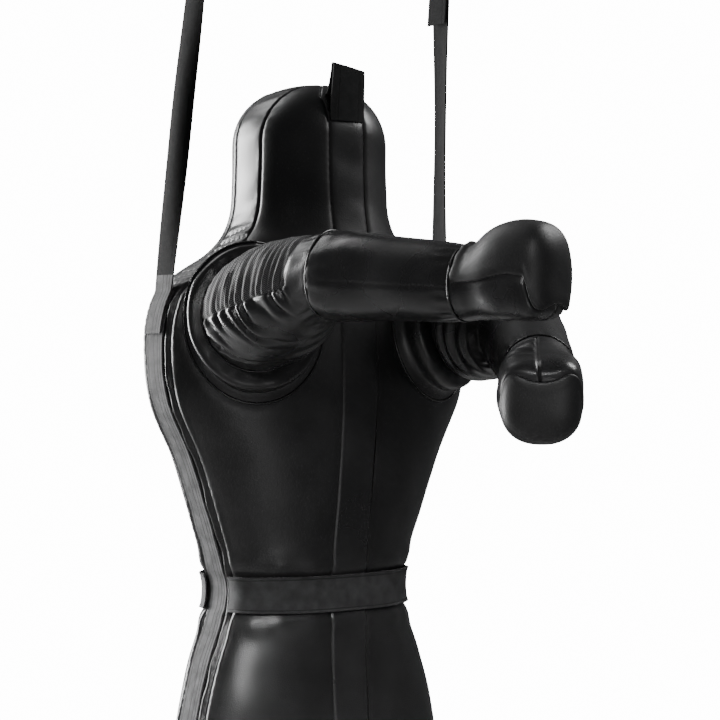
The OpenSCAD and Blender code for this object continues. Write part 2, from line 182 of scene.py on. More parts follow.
def depth_at(s, u):
    crowned = np.clip(1 - np.abs(u) ** 2.6, 0, 1) ** 0.62
    return GUSSET + (half_d(s) - GUSSET) * crowned


def level(s):
    """The height of a level, where the crown has sunk a little under its own filling."""
    return -s - 3.5 * np.clip(1 - s / 90, 0, 1) ** 2


def skin(s, u, face):
    s, u = np.broadcast_arrays(np.asarray(s, float), np.asarray(u, float))
    return np.stack([u * half_w(s), curve(SWAY, s) + face * depth_at(s, u), level(s)], -1) + BAG


def unit(v):
    return v / (np.linalg.norm(v, axis=-1, keepdims=True) + 1e-9)


def outward(points, loop=False):
    if loop:
        wide = np.concatenate([points[:, -2:-1], points, points[:, 1:2]], 1)
        across = wide[:, 2:] - wide[:, :-2]
    else:
        across = np.gradient(points, axis=1)
    return unit(np.cross(across, np.gradient(points, axis=0)))


def run(points):
    step = np.linalg.norm(np.diff(points, axis=1), axis=-1)
    return np.concatenate([np.zeros((len(points), 1)), np.cumsum(step, 1)], 1)


def uneven(points, size, seed):
    rng = np.random.default_rng(seed)
    total = 0
    for _ in range(8):
        k = rng.normal(size=3)
        k *= 2 * np.pi / size * rng.uniform(0.7, 1.5) / np.linalg.norm(k)
        total = total + np.sin(points @ k + rng.uniform(0, 6.28))
    return total / 4


def seam(distance, deep=2.2, wide=2.6):
    return -deep * np.exp(-((distance / wide) ** 2))


def bump(distance, wide):
    return np.exp(-((distance / wide) ** 2))


def ease(k):
    k = np.clip(k, 0, 1)
    return k * k * (3 - 2 * k)


def turned(degrees):
    """The same turn, written between -180 and 180 degrees."""
    return (degrees + 180) % 360 - 180


def lay_out(name, points, lay=None, loop=False, out_of=None):
    """A grid of cloth whose points are moved to their places, joined up if it is a loop."""
    if out_of is not None:
        middle = points.reshape(-1, 3) - np.asarray(out_of, float)
        if (outward(points, loop).reshape(-1, 3) * middle).sum() < 0:
            points = points[:, ::-1]
            lay = lay[:, ::-1] if lay is not None else None
    rows, cols = points.shape[:2]
    bpy.ops.object.select_all(action="DESELECT")
    bpy.ops.mesh.primitive_grid_add(x_subdivisions=cols - 1, y_subdivisions=rows - 1, size=1)
    piece = bpy.context.object
    piece.name = piece.data.name = name
    piece.data.vertices.foreach_set("co", (points.reshape(-1, 3) * MM).ravel())
    if lay is not None:
        corner = np.zeros(len(piece.data.loops), int)
        piece.data.loops.foreach_get("vertex_index", corner)
        piece.data.uv_layers[0].data.foreach_set("uv", (lay.reshape(-1, 2)[corner] * MM).ravel())
    piece.data.update()
    if loop:
        bpy.ops.object.mode_set(mode="EDIT")
        bpy.ops.mesh.select_all(action="SELECT")
        bpy.ops.mesh.remove_doubles(threshold=0.00002)
        bpy.ops.object.mode_set(mode="OBJECT")
    return piece


def apply(piece, kind, **settings):
    bpy.ops.object.select_all(action="DESELECT")
    piece.select_set(True)
    bpy.context.view_layer.objects.active = piece
    modifier = piece.modifiers.new(kind.lower(), kind)
    for key, value in settings.items():
        setattr(modifier, key, value)
    bpy.ops.object.modifier_apply(modifier=modifier.name)


def thicken(piece, thick, offset=-1):
    apply(piece, "SOLIDIFY", thickness=thick * MM, offset=offset)


def cut_away(piece, keep):
    """Deletes the faces whose middle point, in millimetres, isn't kept."""
    bpy.ops.object.select_all(action="DESELECT")
    piece.select_set(True)
    bpy.context.view_layer.objects.active = piece
    middles = np.array([f.center for f in piece.data.polygons]) / MM
    gone = ~keep(middles)
    for kind in (piece.data.polygons, piece.data.edges, piece.data.vertices):
        kind.foreach_set("select", np.zeros(len(kind), bool))
    piece.data.polygons.foreach_set("select", gone)
    bpy.ops.object.mode_set(mode="EDIT")
    bpy.ops.mesh.select_mode(type="FACE")
    bpy.ops.mesh.delete(type="FACE")
    bpy.ops.object.mode_set(mode="OBJECT")


def face_outwards():
    """Turns the faces of the piece just laid out so that they all point out of it."""
    bpy.ops.object.mode_set(mode="EDIT")
    bpy.ops.mesh.select_all(action="SELECT")
    bpy.ops.mesh.normals_make_consistent(inside=False)
    bpy.ops.object.mode_set(mode="OBJECT")


def finish_off(piece, material, angle=50):
    bpy.ops.object.select_all(action="DESELECT")
    piece.select_set(True)
    bpy.context.view_layer.objects.active = piece
    bpy.ops.object.shade_smooth_by_angle(angle=math.radians(angle))
    piece.data.materials.append(material)


class Finish:
    """A material's nodes, with the few links that every finish here needs."""

    def __init__(self, name, tone, rough):
        self.material = bpy.data.materials.new(name)
        self.material.use_nodes = True
        self.nodes = self.material.node_tree.nodes
        self.links = self.material.node_tree.links
        self.shader = self.nodes["Principled BSDF"]
        self.shader.inputs["Base Color"].default_value = (*tone, 1)
        self.shader.inputs["Roughness"].default_value = rough

    def add(self, kind, **values):
        node = self.nodes.new("ShaderNode" + kind)
        for key, value in values.items():
            if key in node.inputs:
                node.inputs[key].default_value = value
            else:
                setattr(node, key, value)
        return node

    def math(self, operation, a, b=0.0, c=0.0):
        node = self.add("Math", operation=operation)
        for socket, value in zip(node.inputs, (a, b, c)):
            if isinstance(value, (int, float)):
                socket.default_value = value
            else:
                self.links.new(value, socket)
        return node.outputs[0]

    def between(self, value, low, high, start=0.0, end=1.0):
        node = self.add("MapRange")
        self.links.new(value, node.inputs["Value"])
        for key, number in zip(("From Min", "From Max", "To Min", "To Max"), (start, end, low, high)):
            node.inputs[key].default_value = number
        return node.outputs["Result"]

    def raise_by(self, height, strength, distance, below=None):
        node = self.add("Bump", Strength=strength, Distance=distance)
        self.links.new(height, node.inputs["Height"])
        if below is not None:
            self.links.new(below, node.inputs["Normal"])
        return node.outputs["Normal"]

    def tint(self, amount, dark, light):
        mix = self.add("Mix", data_type="RGBA")
        for socket in mix.inputs:
            if socket.name == "Factor" and socket.type == "VALUE":
                self.links.new(amount, socket)
                break
        colours = [s for s in mix.inputs if s.type == "RGBA"]
        colours[0].default_value = (*dark, 1)
        colours[1].default_value = (*light, 1)
        out = [s for s in mix.outputs if s.type == "RGBA"][0]
        self.links.new(out, self.shader.inputs["Base Color"])


def leathercloth(name, tone, rough, grain=0.35):
    """Black polyurethane leathercloth: a pebbled grain, worn a little smoother in places."""
    f = Finish(name, (tone, tone, tone * 1.04), rough)
    at = f.add("TexCoord").outputs["Object"]
    pebble = f.add("TexVoronoi", Scale=620.0, feature="F1")
    cloudy = f.add("TexNoise", Scale=11.0, Detail=3.0)
    fine = f.add("TexNoise", Scale=900.0, Detail=2.0)
    for node in (pebble, cloudy, fine):
        f.links.new(at, node.inputs["Vector"])
    worn = f.between(cloudy.outputs["Fac"], rough - 0.06, rough + 0.07, 0.3, 0.7)
    f.links.new(worn, f.shader.inputs["Roughness"])
    f.tint(f.between(cloudy.outputs["Fac"], 0, 1, 0.35, 0.65),
           (tone * 0.8, tone * 0.8, tone * 0.82), (tone * 1.3, tone * 1.3, tone * 1.34))
    low = f.raise_by(pebble.outputs["Distance"], grain, 0.0004)
    top = f.raise_by(fine.outputs["Fac"], grain * 0.6, 0.0002, low)
    f.links.new(top, f.shader.inputs["Normal"])
    return f.material


cover = leathercloth("cover_leathercloth", 0.014, 0.36)
crown_rows = 92 * (1 - np.cos(np.linspace(0.06, math.pi / 2, 30)))
body_rows = np.concatenate([crown_rows, np.linspace(92, HEIGHT, 278)[1:]])[:, None]
ARM_FACE = math.radians(22)
HOLE = (97.0, 108.0)
SHIFT = 7
UP = np.array([0.0, 0.0, 1.0])


def joint_at(name):
    found = [j for j in frame["joints"] if j["name"] == name][0]
    return np.array(found["pos_m"]) / MM


def hole_axes(side):
    out = np.array([side * math.sin(ARM_FACE), -math.cos(ARM_FACE), 0.0])
    return np.cross(UP, out), out


def hole_radius(points, name):
    """How far a point lies from an armhole's middle: 1 on its edge."""
    side = SIDES[name]
    away = points - joint_at("shoulder_%s_lift" % name)
    across, _ = hole_axes(side)
    x = (away @ across + side * SHIFT) / HOLE[0]
    return np.hypot(x, away[..., 2] / HOLE[1])


def belt_pinch(s):
    """The belt draws the skin in, and the skin puffs up above and below it."""
    d = np.abs(s - BELT_S)
    return -2.2 * ease((BELT_HALF + 9 - d) / 12) + 2.4 * bump(d - BELT_HALF - 17, 13)


def panel(name, face):
    side = SIDES[name]
    u0 = np.minimum(STRIP_HALF, 0.45 * half_w(body_rows)) / half_w(body_rows)
    theta = np.linspace(0, math.pi / 2, 46)[None, :]
    u = side * (u0 + (1 - u0) * np.sin(theta))
    base = skin(body_rows, u, face)
    length = run(base)
    inner, outer = length, length[:, -1:] - length
    drop = np.broadcast_to(body_rows, inner.shape)
    full = ease(np.minimum(inner, outer) / 45)
    puff = 0.3 * ease(inner / 16) * ease(outer / 10) + 1.3 * uneven(base, 210, 3 + face) * full
    puff += 0.55 * uneven(base, 75, 5 + side) * full + seam(inner, 1.6) + seam(outer, 2.4, 3.0)
    puff += (1.0 + 0.8 * np.sin(drop / 23)) * bump(outer - 8, 3.6) * ease((drop - 260) / 60)
    pucker = np.sin(drop / 2.1 + 2.2 * np.sin(drop / 17)) * (0.6 + 0.4 * np.sin(drop / 41))
    puff += 0.5 * pucker * (bump(inner - 4, 4) * 0.5 + bump(outer - 7, 5))
    puff += belt_pinch(drop) * ease(outer / 6)
    near = bump(np.abs(drop - BELT_S) - BELT_HALF - 12, 16)
    puff += 0.8 * near * np.sin(base[..., 0] / 5.5 + 2 * np.sin(base[..., 0] / 23)) * full
    if face < 0:
        rim = (hole_radius(base, name) - 1) * 100
        puff += seam(rim, 1.2, 4) - 5 * ease(-rim / 10) + 0.5 * bump(rim - 12, 8)
        puff += 0.3 * bump(rim - 7, 7) * np.sin(13 * np.arctan2(
            base[..., 2] + 600, base[..., 0] - side * 171) + side)
    normal = outward(base)
    row, column = CHEST_POINT
    chest_at = base[row, column]
    normal = normal * np.sign((normal[row, column] * (chest_at - BAG - (0, 0, chest_at[2]))).sum())
    panel_name = "%s_panel_%s" % ("front" if face < 0 else "back", name)
    piece = lay_out(panel_name, base + normal * puff[..., None], out_of=BAG_MIDDLE)
    if face < 0:
        cut_away(piece, lambda at: hole_radius(at, name) > 0.9)
    thicken(piece, COVER_THICK)
    finish_off(piece, cover)
    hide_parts(panel_name)
    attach(piece, "bag")


for name in SIDES:
    panel(name, -1)
    panel(name, 1)

# --- Centre strips ------------------------------------------------------------------------------
# A strip of the same leathercloth, 60 mm wide, runs from the crown to the base down the middle of
# the front and of the back. Its edges are turned under and stitched to the panels beside it.
strip_cloth = leathercloth("strip_leathercloth", 0.019, 0.33, 0.28)


def centre_strip(name, face):
    reach = np.minimum(STRIP_HALF, 0.45 * half_w(body_rows)) / half_w(body_rows)
    u = reach * np.linspace(-1, 1, 25)[None, :]
    base = skin(body_rows, u, face)
    length = run(base)
    edge = np.minimum(length, length[:, -1:] - length)
    drop = np.broadcast_to(body_rows, edge.shape)
    puff = 0.9 * ease(edge / 4) + seam(edge, 1.8, 1.8) + seam(edge - 6, 0.7, 1.1)
    puff += 1.0 * uneven(base, 210, 3 + face) - 0.5 + 0.35 * uneven(base, 60, 9) * ease(edge / 12)
    puff += 0.25 * np.sin(drop / 1.9 + np.sin(drop / 23)) * bump(edge - 3, 3) + belt_pinch(drop)
    normal = outward(base)
    normal = normal * np.sign(normal[CHEST_POINT[0], 12, 1] * face)
    piece = lay_out(name, base + normal * puff[..., None], out_of=BAG_MIDDLE)
    thicken(piece, COVER_THICK)
    finish_off(piece, strip_cloth)
    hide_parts(name)
    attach(piece, "bag")
    return piece


centre_strip("front_strip", -1)
back_strip = centre_strip("back_strip", 1)
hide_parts("body_filling")

# --- Side gusset --------------------------------------------------------------------------------
# One long band joins front to back, up one flank, over the crown and down the other. It is eased
# round the hollow of each shoulder, where it gathers in folds, and its edges stand up in a ridge.
gusset_cloth = leathercloth("gusset_leathercloth", 0.016, 0.31)
rise = np.concatenate([np.linspace(HEIGHT, 95, 900),
                       95 * (1 - np.sin(np.linspace(0, math.pi / 2, 90)))])
track = np.stack([-half_w(rise), level(rise)], -1)
track = np.concatenate([track, (track * (-1, 1))[-2::-1]])
along = np.concatenate([[0], np.cumsum(np.linalg.norm(np.diff(track, axis=0), axis=1))])
even = np.linspace(0, along[-1], 920)
track = np.stack([np.interp(even, along, track[:, i]) for i in (0, 1)], -1)
heading = unit(np.gradient(track, axis=0))
square = np.stack([-heading[:, 1], heading[:, 0]], -1)
y = np.linspace(-GUSSET, GUSSET, 61)[None, :]
drop = -track[:, 1:2]
round_shoulder = ease((drop - 196) / 18) * ease((302 - drop) / 22)
ridge = ease((drop - 285) / 30)
way_up = even[:, None]
from_edge = GUSSET - np.abs(y)
puff = 1.8 * (1 - (y / GUSSET) ** 2) * (1 - 0.6 * ridge)
puff = puff - 2.4 * bump(y + GUSSET, 2.2) - 0.8 * bump(y - GUSSET, 2.2)
wave = 1 + 0.3 * np.sin(way_up / 16) + 0.2 * np.sin(way_up / 7.3 + 2)
sewn = y + 22.4 + 1.1 * np.sin(way_up / 21) + 0.5 * np.sin(way_up / 9.7)
roll = 3.0 * wave * bump(sewn, 3.2) - 1.2 * bump(sewn - 6.4, 2.6) + 1.6 * bump(y - 25.2, 2.2)
puff = puff + ridge * roll
fold = way_up + 0.35 * y + 4 * np.sin(way_up / 33)
deep_fold = np.abs(np.sin(fold * math.pi / 17)) ** 0.8 - 0.6
puff = puff + round_shoulder * 4.4 * deep_fold * ease(from_edge / 9)
soft_fold = np.sin(fold / 6.3 + 2 * np.sin(fold / 29))
puff = puff + (1 - ridge) * 0.35 * soft_fold * ease(from_edge / 12)
puff = puff + 0.3 * np.sin(way_up / 1.9) * bump(np.abs(y) - GUSSET + 3, 2.5)
cloth = np.stack([track[:, :1] + square[:, :1] * puff, y + curve(SWAY, drop),
                  track[:, 1:] + square[:, 1:] * puff], -1) + BAG
gusset = lay_out("side_gusset", cloth, out_of=BAG_MIDDLE)
thicken(gusset, COVER_THICK)
finish_off(gusset, gusset_cloth)
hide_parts("side_gusset")
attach(gusset, "bag")

# --- Base panel ---------------------------------------------------------------------------------
# A flat panel of leathercloth closes the bottom. It is sewn round its edge to the panels' ends,
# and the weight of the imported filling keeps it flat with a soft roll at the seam.
turn = np.linspace(-1, 1, 61)
front_edge = skin(HEIGHT, np.sin(turn * math.pi / 2), -1)
back_edge = skin(HEIGHT, -np.sin(turn * math.pi / 2), 1)
edge_loop = np.concatenate([front_edge, back_edge[1:]], 0)
edge_loop = np.concatenate([edge_loop, edge_loop[:1]], 0)
middle = np.array([0, 38, -HEIGHT - 265])
share = np.concatenate([np.linspace(0.002, 0.9, 22), np.linspace(0.92, 1.0, 10)])[:, None, None]
cloth = middle + (edge_loop[None] - middle) * share
rim = (1 - share[..., 0]) * 110
cloth[..., 2] += 0.2 - 2.0 * ease(rim / 9) + 2.4 * bump(rim, 2.2) + 0.35 * uneven(cloth, 90, 21)
base_panel = lay_out("base_panel", cloth, loop=True)
face_outwards()
if base_panel.data.polygons[40].normal.z > 0:
    base_panel.data.flip_normals()
thicken(base_panel, COVER_THICK)
finish_off(base_panel, cover)
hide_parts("base_panel")
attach(base_panel, "bag")

# --- Armhole panels and their piping ------------------------------------------------------------
# A ring of leathercloth is let into the chest round each arm. It dips a little inside its piped
# edge, then rolls forward to the root of the sleeve, so that the arm can move without tearing it.
ring_cloth = leathercloth("armhole_leathercloth", 0.015, 0.3)
piping_cloth = leathercloth("piping_leathercloth", 0.012, 0.24, 0.15)
ROOT_R = 74.0
ROOT_UP = 8.0
root_lift = math.radians(8)
ROUND = np.linspace(0, 2 * math.pi, 181)


def tube(name, path, radius, normal, material, ribs=0.0):
    """A closed roll of cloth along a closed path."""
    ahead = unit(np.roll(path[:-1], -1, 0) - np.roll(path[:-1], 1, 0))
    ahead = np.concatenate([ahead, ahead[:1]])
    side = unit(np.cross(ahead, normal))
    top = np.cross(side, ahead)
    a = np.linspace(0, 2 * math.pi, 13)
    beat = 1 + ribs * np.sin(np.arange(len(path)) * math.pi / 1.5)
    r = radius * beat[:, None, None]
    points = path[:, None] + r * (np.cos(a)[None, :, None] * side[:, None]
                                  + np.sin(a)[None, :, None] * top[:, None])
    piece = lay_out(name, points, loop=True)
    face_outwards()
    finish_off(piece, material, 70)
    return piece


def inside(points):
    at = points - BAG
    s = -at[..., 2]
    u = at[..., 0] / half_w(s)
    return (np.abs(u) < 1) & (np.abs(at[..., 1]) < depth_at(s, np.clip(u, -1, 1)))


def on_skin(start, way):
    """The first point of the skin met when going back along the armhole's axis."""
    steps = np.linspace(70, -70, 561)
    line = start[:, None] + way * steps[None, :, None]
    hit = inside(line)
    first = np.where(hit.any(1), hit.argmax(1), 480)
    return line[np.arange(len(start)), first]


def root_axes(side):
    out = np.array([side * math.sin(ARM_FACE) * math.cos(root_lift),
                    -math.cos(ARM_FACE) * math.cos(root_lift), math.sin(root_lift)])
    across = unit(np.cross(UP, out))
    return across, np.cross(out, across), out


for name, side in SIDES.items():
    joint = joint_at("shoulder_%s_lift" % name)
    across, out = hole_axes(side)
    oval = joint + across * (-side * SHIFT + HOLE[0] * np.cos(ROUND))[:, None] + UP * (
        HOLE[1] * np.sin(ROUND))[:, None]
    edge = on_skin(oval, out)
    kernel = np.ones(7) / 7
    closed = np.concatenate([edge[-4:-1], edge, edge[1:4]])
    edge = np.stack([np.convolve(closed[:, i], kernel, "valid") for i in range(3)], -1)
    edge[-1] = edge[0]
    ra, ru, rout = root_axes(side)
    root = joint + UP * ROOT_UP + ROOT_R * (np.cos(ROUND)[:, None] * ra + np.sin(ROUND)[:, None] * ru)
    t = np.linspace(0, 1, 34)[:, None, None]
    cloth = edge[None] * (1 - t) + root[None] * t
    normal = outward(cloth, True)
    flip = np.sign((normal.reshape(-1, 3) @ out).sum())
    k = t[..., 0]
    puff = -2.0 * np.sin(math.pi * np.clip(k / 0.5, 0, 1)) ** 1.5
    puff = puff + 12.0 * np.sin(math.pi * np.clip((k - 0.32) / 0.68, 0, 1)) ** 1.2
    puff = puff + 0.3 * ease((k - 0.5) / 0.3) * np.sin(19 * ROUND + 2 * np.sin(3 * ROUND))[None]
    puff = puff + 0.9 * uneven(cloth, 48, 31) * np.sin(math.pi * k) + seam((1 - k) * 30, 1.2)
    cloth = cloth + normal * flip * puff[..., None]
    ring = lay_out("armhole_panel_" + name, cloth, loop=True, out_of=joint + out * -200)
    thicken(ring, COVER_THICK)
    finish_off(ring, ring_cloth)
    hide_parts("armhole_panel_" + name)
    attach(ring, "bag")
    pipe = tube("armhole_piping_" + name, edge + out * 0.8, 1.7, out, piping_cloth, 0.05)
    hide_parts("armhole_piping_" + name)
    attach(pipe, "bag")
    root_roll = tube("root_seam_" + name, root + rout * 0.2, 1.2, rout, piping_cloth,
                     0.16)
    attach(root_roll, "bag")

# --- Waist belt ---------------------------------------------------------------------------------
# A belt of 50 mm woven webbing goes round the waist and laps at the back, a plain rib with a
# stitched line near each edge. It crosses the gusset and the side webbing on the left flank only:
# on the right flank it stops at both edges of the gusset, and is open between them.
def webbing(name, dark, light, lines, rough=0.62, shine=0.3):
    """Ribbed polyester webbing: crossing ribs, and stitched lines at set places across it."""
    f = Finish(name, light, rough)
    at = f.add("UVMap", uv_map="UVMap").outputs["UV"]
    split = f.add("SeparateXYZ")
    f.links.new(at, split.inputs[0])
    lengthwise, crosswise = split.outputs[0], split.outputs[1]
    rib = f.math("SINE", f.math("MULTIPLY", lengthwise, 2 * math.pi / 0.0021))
    yarn = f.math("SINE", f.math("MULTIPLY", crosswise, 2 * math.pi / 0.0017))
    weave = f.math("MULTIPLY", rib, yarn)
    noise = f.add("TexNoise", Scale=60.0, Detail=4.0)
    f.links.new(f.add("TexCoord").outputs["Object"], noise.inputs["Vector"])
    tone = f.math("ADD", f.between(weave, 0.25, 0.75, -1, 1),
                  f.between(noise.outputs["Fac"], -0.3, 0.3, 0.3, 0.7))
    stitched = None
    for place in lines:
        here = f.math("COMPARE", crosswise, place * MM, 0.0007)
        stitched = here if stitched is None else f.math("MAXIMUM", stitched, here)
    if stitched is not None:
        tone = f.math("SUBTRACT", tone, f.math("MULTIPLY", stitched, 0.75))
    f.tint(f.math("MAXIMUM", tone, 0.0), dark, light)
    low = f.raise_by(weave, 0.6, 0.0004)
    if stitched is not None:
        low = f.raise_by(f.math("SUBTRACT", 1.0, stitched), 0.8, 0.0006, low)
    f.links.new(low, f.shader.inputs["Normal"])
    f.shader.inputs["Specular IOR Level"].default_value = shine
    return f.material


belt_webbing = webbing("belt_webbing", (0.012, 0.012, 0.012), (0.05, 0.05, 0.052), (-21, 21))
WEB_THICK = 2.4
turn = np.linspace(-1, 1, 151)
waist = np.concatenate([np.sin(turn * math.pi / 2), -np.sin(turn[1:] * math.pi / 2)])
way = np.concatenate([-np.ones(151), np.ones(150)])
across_belt = np.linspace(-BELT_HALF, BELT_HALF, 25)
rows = []
for v in across_belt:
    loop = skin(BELT_S + v, waist, -1)
    flipped = skin(BELT_S + v, waist, 1)
    rows.append(np.where(way[:, None] < 0, loop, flipped))
cloth = np.array(rows)
around = run(cloth)
flat = np.array([0, 38, 0])
spread = unit((cloth - flat) * (1, 1, 0))
square = outward(cloth, True)
square = square * np.sign((square * spread).sum(-1, keepdims=True))
square = unit(square + 0.3 * spread)
v = across_belt[:, None]
over_webbing = 3.0 * ease((np.abs(waist) - 0.75) / 0.25)
puff = 2.6 + over_webbing + 0.5 * np.sin(around / 31)
puff = puff + 0.8 * bump(np.abs(v) - BELT_HALF, 2.5) + 0.25 * uneven(cloth, 30, 41)
cloth = cloth + square * puff[..., None]
lay = np.stack([around, np.broadcast_to(v, around.shape)], -1)
belt = lay_out("waist_belt", cloth, lay, loop=True, out_of=(0, 38, -965))
thicken(belt, WEB_THICK, 0)
finish_off(belt, belt_webbing)
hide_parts("waist_belt")
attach(belt, "bag")
back_half = (np.abs(cloth[12, :, 0]) < 46) & (cloth[12, :, 1] > 38)
lap_cloth = cloth[:, back_half] + square[:, back_half] * 2.6
lap = lay_out("belt_lap", lap_cloth, lay[:, back_half], out_of=(0, 38, -965))
thicken(lap, WEB_THICK, 0)
finish_off(lap, belt_webbing)
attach(lap, "bag")

# --- Side webbing -------------------------------------------------------------------------------
# Grey 38 mm webbing is stitched flat down each flank, from the shoulder to the base. It carries
# the bag's weight and has four lengthwise stitch lines. The belt crosses it on the left only.
grey_webbing = webbing("grey_webbing", (0.01, 0.01, 0.0103), (0.11, 0.11, 0.112),
                       (-14, -8, 0, 14), 0.75)
WEB_BACK, WEB_HALF, WEB_TOP = 4, 19, 292
for name, side in SIDES.items():
    s = np.linspace(WEB_TOP, HEIGHT - 3, 300)[:, None]
    v = np.linspace(-WEB_HALF, WEB_HALF, 21)[None, :]
    y = WEB_BACK + v
    lift = 1.8 * (1 - (y / GUSSET) ** 2) * 0.4 + 0.6 + 0.5 * bump(np.abs(v) - WEB_HALF, 2)
    lift = lift + 0.5 * uneven(np.stack(np.broadcast_arrays(s, y, 0 * s), -1).astype(float), 50, 51)
    lift = lift - 1.6 * ease((BELT_HALF + 6 - np.abs(s - BELT_S)) / 10)
    lift = lift + 1.6 * bump(s - WEB_TOP, 2.5)
    cloth = np.stack([side * (half_w(s) + lift), y + curve(SWAY, s),
                      np.broadcast_to(-s, lift.shape)], -1) + BAG
    lay = np.stack(np.broadcast_arrays(s, v), -1)
    band = lay_out("side_webbing_" + name, cloth, lay, out_of=BAG_MIDDLE)
    thicken(band, WEB_THICK, 1)
    finish_off(band, grey_webbing)
    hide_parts("side_webbing_" + name)
    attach(band, "bag")

# --- Crown tab ----------------------------------------------------------------------------------
# A loop of black 50 mm webbing is sewn to the forehead and stands up past the crown. It is folded
# over at its top, a little askew, and its inner end is sewn down just behind.
black_webbing = webbing("black_webbing", (0.007, 0.007, 0.007), (0.02, 0.02, 0.0205),
                        (-15, 15), 0.8, 0.15)
sewn_y = -float(half_d(np.array(56.0))) - 2.4
front_line = [(sewn_y - 0.6 * math.sin(math.pi * k), -58 + 72 * k) for k in np.linspace(0, 1, 30)]
bow = [(sewn_y + 2.4 - 2.4 * math.cos(a), 14 + 2.2 * math.sin(a))
       for a in np.linspace(0.25, math.pi - 0.25, 7)]
rear_line = [(sewn_y + 4.6 + 5.5 * k**2, 13 - 34 * k) for k in np.linspace(0, 1, 14)]
brow = [(-float(half_d(np.array(d))) - 1.2, -d) for d in np.linspace(24.0, 44.0, 8)]
tab_line = np.array(front_line + bow + rear_line + brow)
tab_run = np.concatenate([[0], np.cumsum(np.linalg.norm(np.diff(tab_line, axis=0), axis=1))])
v = np.linspace(-25, 25, 21)[None, :]
high = np.clip((tab_line[:, 1:2] + 40) / 54, 0, 1)
curl = (0.0042 * (1 - high) + 0.0022 * high) * v**2
roll = math.radians(11) * high
cloth = np.stack([v * np.cos(roll) * (1.14 - 0.14 * high) + 3 * high,
                  tab_line[:, :1] + curl - 0.1 * v * high,
                  tab_line[:, 1:2] - v * np.sin(roll)], -1) + BAG
lay = np.stack(np.broadcast_arrays(tab_run[:, None], v), -1)
tab = lay_out("crown_tab", cloth, lay)
thicken(tab, WEB_THICK, 0)
finish_off(tab, black_webbing)
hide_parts("crown_tab")
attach(tab, "bag")

# --- Straps -------------------------------------------------------------------------------------
# Each strap is black 38 mm webbing. Its upper end goes round the bar of the D-ring and is sewn to
# itself, and its lower end is sewn over the top of the side webbing. Neither hangs quite flat.
strap_webbing = webbing("strap_webbing", (0.004, 0.004, 0.004), (0.011, 0.011, 0.0114),
                        (-13, 13), 0.8, 0.1)
STRAP_END = 350
TWIST = {"right": 14, "left": -17}
CUP = {"right": 5.0, "left": 3.0}
for name, side in SIDES.items():
    ring_low, ring_high = (np.array(c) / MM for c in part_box("d_ring_" + name))
    bar_x, bar_z = side * (ring_low[0] + ring_high[0]) / 2, ring_low[2] + 4.0
    wrap_r = 5.6
    tail = [(bar_x - 2.2, bar_z - h) for h in np.linspace(72, 9, 14)]
    bow = [(bar_x + wrap_r * math.cos(a), bar_z + wrap_r * math.sin(a))
           for a in np.radians(np.linspace(240, -62, 22))]
    leave = (float(half_w(np.array(float(WEB_TOP)))) + 8.0, BAG[2] - WEB_TOP)
    begin = (bar_x + 2.0, bar_z - 11)
    fall = [tuple(np.array(begin) * (1 - k) + np.array(leave) * k) for k in np.linspace(0, 1, 90)]
    sewn = [(float(half_w(np.array(float(s)))) + 6.6, BAG[2] - s)
            for s in np.linspace(WEB_TOP + 5, STRAP_END, 22)]
    line = np.array(tail + bow + fall + sewn)
    length = np.concatenate([[0], np.cumsum(np.linalg.norm(np.diff(line, axis=0), axis=1))])
    ahead = unit(np.gradient(line, axis=0))
    flat_out = np.stack([-ahead[:, 1], ahead[:, 0]], -1)
    first = len(tail) + len(bow)
    last = first + len(fall)
    fallen = (length - length[first]) / (length[last] - length[first])
    free = np.sin(math.pi * np.clip(fallen, 0, 1))[:, None]
    angle = free * math.radians(TWIST[name])
    v = np.linspace(-WEB_HALF, WEB_HALF, 17)[None, :]
    cup = CUP[name] * free * (1 - (v / WEB_HALF) ** 2)
    cup = cup + 0.4 * np.sin(length[:, None] / 37) * free
    place = v * np.cos(angle)
    off = -v * np.sin(angle) * side + cup
    straight = ((line[:, 1:2] - begin[1]) / (leave[1] - begin[1])).clip(0, 1)
    y = place + (BAG[1] + WEB_BACK) * straight
    cloth = np.stack([side * (line[:, :1] + flat_out[:, :1] * off), y,
                      line[:, 1:] + flat_out[:, 1:] * off], -1)
    lay = np.stack(np.broadcast_arrays(length[:, None], v), -1)
    strap = lay_out("strap_" + name, cloth, lay)
    thicken(strap, 2.2, 0)
    finish_off(strap, strap_webbing)
    strap.data.materials.append(grey_webbing)
    grey_below = (BAG[2] - WEB_TOP + 21) * MM
    for f in strap.data.polygons:
        if f.center.z < grey_below:
            f.material_index = 1
    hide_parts("strap_" + name)
    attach(strap, "bag")

# --- Hooks, gates and D-rings -------------------------------------------------------------------
# Each hook is a long link of 10 mm steel rod with a sprung wire gate, and holds a welded D-ring.
# All of it is polished and plated, with fine scratches round the rod.
steel = Finish("polished_steel", (0.62, 0.62, 0.64), 0.2)
steel.shader.inputs["Metallic"].default_value = 1.0
at = steel.add("TexCoord").outputs["Object"]
scratch = steel.add("TexNoise", Scale=260.0, Detail=5.0)
smear = steel.add("TexNoise", Scale=38.0, Detail=2.0)
for node in (scratch, smear):
    steel.links.new(at, node.inputs["Vector"])
steel.links.new(steel.between(smear.outputs["Fac"], 0.14, 0.34, 0.3, 0.7),
                steel.shader.inputs["Roughness"])
steel.links.new(steel.raise_by(scratch.outputs["Fac"], 0.12, 0.0002), steel.shader.inputs["Normal"])
for name in SIDES:
    for kind in ("hook_", "wire_gate_", "d_ring_"):
        metal = frame["nodes"][kind + name]
        metal.data.materials.clear()
        metal.data.materials.append(steel.material)

